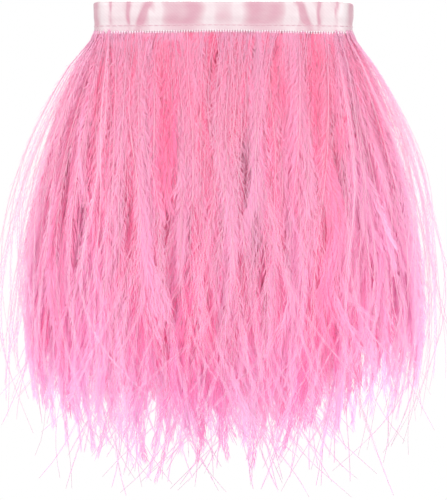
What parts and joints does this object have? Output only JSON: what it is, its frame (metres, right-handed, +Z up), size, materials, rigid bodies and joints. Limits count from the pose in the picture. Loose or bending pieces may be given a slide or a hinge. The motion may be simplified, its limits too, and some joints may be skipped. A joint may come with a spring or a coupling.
{
  "type": "feather fringe trim",
  "caption": "Ostrich feather fringe sewn into a folded satin ribbon and wound into a flat oblong loop, for edging costumes and hats.",
  "frame": {"origin": "middle of the flat band above the seam on the back of the header, where it is sewn on", "axes": "+X along the wound loop, -Y the front, +Y out of the back face, +Z up; the fringe hangs towards -Z"},
  "size_m": [0.17, 0.0874, 0.1853],
  "materials": {
    "satin": "satin weave, soft sheen",
    "thread": "polyester sewing thread",
    "cotton": "twisted cotton string",
    "quill": "dyed feather quill, matte",
    "plume": "dyed ostrich flues, soft and matte"
  },
  "bodies": {
    "header": {"satin_ribbon": "satin", "quill_row": "quill", "heading_string": "cotton", "needle_thread": "thread", "bobbin_thread": "thread", "front_middle_tuft_1": "plume", "front_middle_tuft_2": "plume", "front_middle_tuft_3": "plume", "front_middle_tuft_4": "plume", "front_middle_tuft_5": "plume", "front_core_tuft_1": "plume", "front_core_tuft_2": "plume", "front_core_tuft_3": "plume", "front_core_tuft_4": "plume", "front_core_tuft_5": "plume", "back_middle_tuft_1": "plume", "back_middle_tuft_2": "plume", "back_middle_tuft_3": "plume", "back_middle_tuft_4": "plume", "back_middle_tuft_5": "plume", "back_core_tuft_1": "plume", "back_core_tuft_2": "plume", "back_core_tuft_3": "plume", "back_core_tuft_4": "plume", "back_core_tuft_5": "plume", "left_end_core": "plume", "right_end_core": "plume"},
    "front_tuft_1": {"front_tuft_1": "plume"},
    "front_tuft_2": {"front_tuft_2": "plume"},
    "front_tuft_3": {"front_tuft_3": "plume"},
    "front_tuft_4": {"front_tuft_4": "plume"},
    "front_tuft_5": {"front_tuft_5": "plume"},
    "front_tuft_6": {"front_tuft_6": "plume"},
    "back_tuft_1": {"back_tuft_1": "plume"},
    "back_tuft_2": {"back_tuft_2": "plume"},
    "back_tuft_3": {"back_tuft_3": "plume"},
    "back_tuft_4": {"back_tuft_4": "plume"},
    "back_tuft_5": {"back_tuft_5": "plume"},
    "back_tuft_6": {"back_tuft_6": "plume"},
    "left_tuft_1": {"left_tuft_1": "plume"},
    "left_tuft_2": {"left_tuft_2": "plume"},
    "left_tuft_3": {"left_tuft_3": "plume"},
    "right_tuft_1": {"right_tuft_1": "plume"},
    "right_tuft_2": {"right_tuft_2": "plume"},
    "right_tuft_3": {"right_tuft_3": "plume"}
  },
  "joints": [
    {"name": "front_tuft_1_lift", "type": "hinge", "parent": "header", "child": "front_tuft_1", "pos_m": [-0.03552, -0.0159, -0.0086], "axis": [-1, 0, 0], "range_deg": [0, 40]},
    {"name": "front_tuft_2_lift", "type": "hinge", "parent": "header", "child": "front_tuft_2", "pos_m": [-0.02131, -0.0159, -0.0086], "axis": [-1, 0, 0], "range_deg": [0, 40]},
    {"name": "front_tuft_3_lift", "type": "hinge", "parent": "header", "child": "front_tuft_3", "pos_m": [-0.0071, -0.0159, -0.0086], "axis": [-1, 0, 0], "range_deg": [0, 40]},
    {"name": "front_tuft_4_lift", "type": "hinge", "parent": "header", "child": "front_tuft_4", "pos_m": [0.0071, -0.0159, -0.0086], "axis": [-1, 0, 0], "range_deg": [0, 40]},
    {"name": "front_tuft_5_lift", "type": "hinge", "parent": "header", "child": "front_tuft_5", "pos_m": [0.02131, -0.0159, -0.0086], "axis": [-1, 0, 0], "range_deg": [0, 40]},
    {"name": "front_tuft_6_lift", "type": "hinge", "parent": "header", "child": "front_tuft_6", "pos_m": [0.03552, -0.0159, -0.0086], "axis": [-1, 0, 0], "range_deg": [0, 40]},
    {"name": "back_tuft_1_lift", "type": "hinge", "parent": "header", "child": "back_tuft_1", "pos_m": [-0.03552, -0.0013, -0.0086], "axis": [1, 0, 0], "range_deg": [0, 40]},
    {"name": "back_tuft_2_lift", "type": "hinge", "parent": "header", "child": "back_tuft_2", "pos_m": [-0.02131, -0.0013, -0.0086], "axis": [1, 0, 0], "range_deg": [0, 40]},
    {"name": "back_tuft_3_lift", "type": "hinge", "parent": "header", "child": "back_tuft_3", "pos_m": [-0.0071, -0.0013, -0.0086], "axis": [1, 0, 0], "range_deg": [0, 40]},
    {"name": "back_tuft_4_lift", "type": "hinge", "parent": "header", "child": "back_tuft_4", "pos_m": [0.0071, -0.0013, -0.0086], "axis": [1, 0, 0], "range_deg": [0, 40]},
    {"name": "back_tuft_5_lift", "type": "hinge", "parent": "header", "child": "back_tuft_5", "pos_m": [0.02131, -0.0013, -0.0086], "axis": [1, 0, 0], "range_deg": [0, 40]},
    {"name": "back_tuft_6_lift", "type": "hinge", "parent": "header", "child": "back_tuft_6", "pos_m": [0.03552, -0.0013, -0.0086], "axis": [1, 0, 0], "range_deg": [0, 40]},
    {"name": "left_tuft_1_lift", "type": "hinge", "parent": "header", "child": "left_tuft_1", "pos_m": [-0.04555, -0.01512, -0.0086], "axis": [-0.866, 0.5, 0], "range_deg": [0, 40]},
    {"name": "left_tuft_2_lift", "type": "hinge", "parent": "header", "child": "left_tuft_2", "pos_m": [-0.04847, -0.01005, -0.0086], "axis": [0, 1, 0], "range_deg": [0, 40]},
    {"name": "left_tuft_3_lift", "type": "hinge", "parent": "header", "child": "left_tuft_3", "pos_m": [-0.04555, -0.00498, -0.0086], "axis": [0.866, 0.5, 0], "range_deg": [0, 40]},
    {"name": "right_tuft_1_lift", "type": "hinge", "parent": "header", "child": "right_tuft_1", "pos_m": [0.04627, -0.01492, -0.0086], "axis": [-0.866, -0.5, 0], "range_deg": [0, 40]},
    {"name": "right_tuft_2_lift", "type": "hinge", "parent": "header", "child": "right_tuft_2", "pos_m": [0.04992, -0.0086, -0.0086], "axis": [0, -1, 0], "range_deg": [0, 40]},
    {"name": "right_tuft_3_lift", "type": "hinge", "parent": "header", "child": "right_tuft_3", "pos_m": [0.04627, -0.00228, -0.0086], "axis": [0.866, -0.5, 0], "range_deg": [0, 40]}
  ]
}
